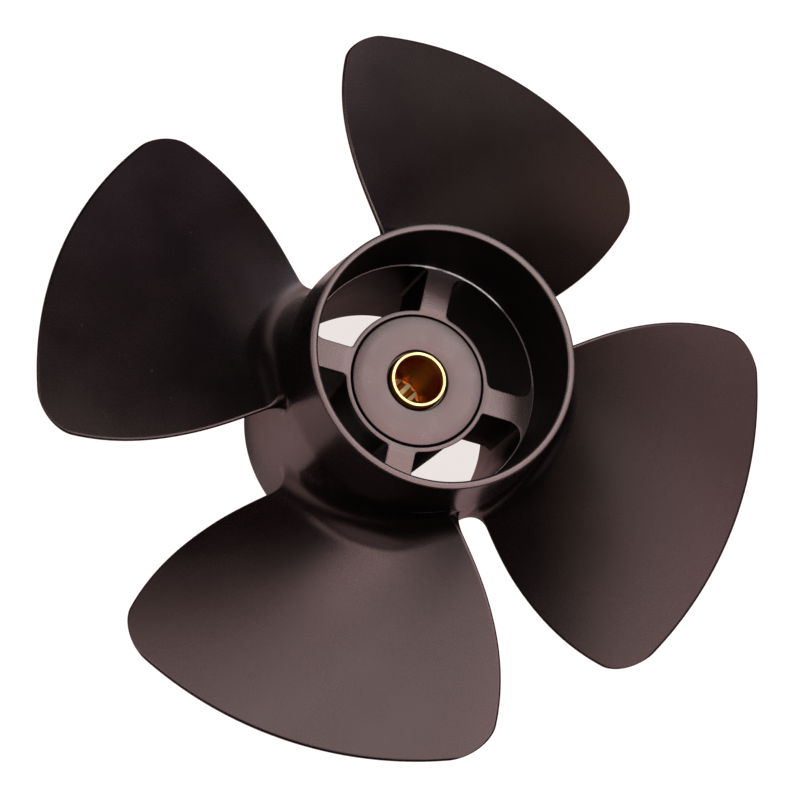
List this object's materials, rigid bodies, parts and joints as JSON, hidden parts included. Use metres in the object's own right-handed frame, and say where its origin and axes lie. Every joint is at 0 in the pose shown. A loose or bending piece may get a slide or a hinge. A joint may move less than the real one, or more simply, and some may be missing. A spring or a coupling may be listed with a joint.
{
  "type": "outboard motor propeller, four blades, through-hub exhaust",
  "caption": "Right-hand propeller with wide round-cornered blades on a hollow barrel, ribs, an inner hub, a rubber bush and a splined sleeve for an outboard motor's shaft.",
  "frame": {"origin": "middle of the aft rim, on which the propeller stands", "axes": "+Z runs forward along the shaft axis; the ribs lie on the diagonals of X and Y"},
  "size_m": [0.246, 0.246, 0.104],
  "materials": {
    "black_paint": "satin black paint on cast aluminium",
    "hub_paint": "thin satin black paint on machined aluminium",
    "bush_rubber": "satin, painted over",
    "brass": "turned and broached, bare"
  },
  "bodies": {
    "root": {"barrel": "black_paint", "blade_1": "black_paint", "blade_2": "black_paint", "blade_3": "black_paint", "blade_4": "black_paint", "rib_1": "hub_paint", "rib_2": "hub_paint", "rib_3": "hub_paint", "rib_4": "hub_paint", "inner_hub": "hub_paint", "rubber_bush": "bush_rubber", "splined_sleeve": "brass"}
  },
  "joints": []
}
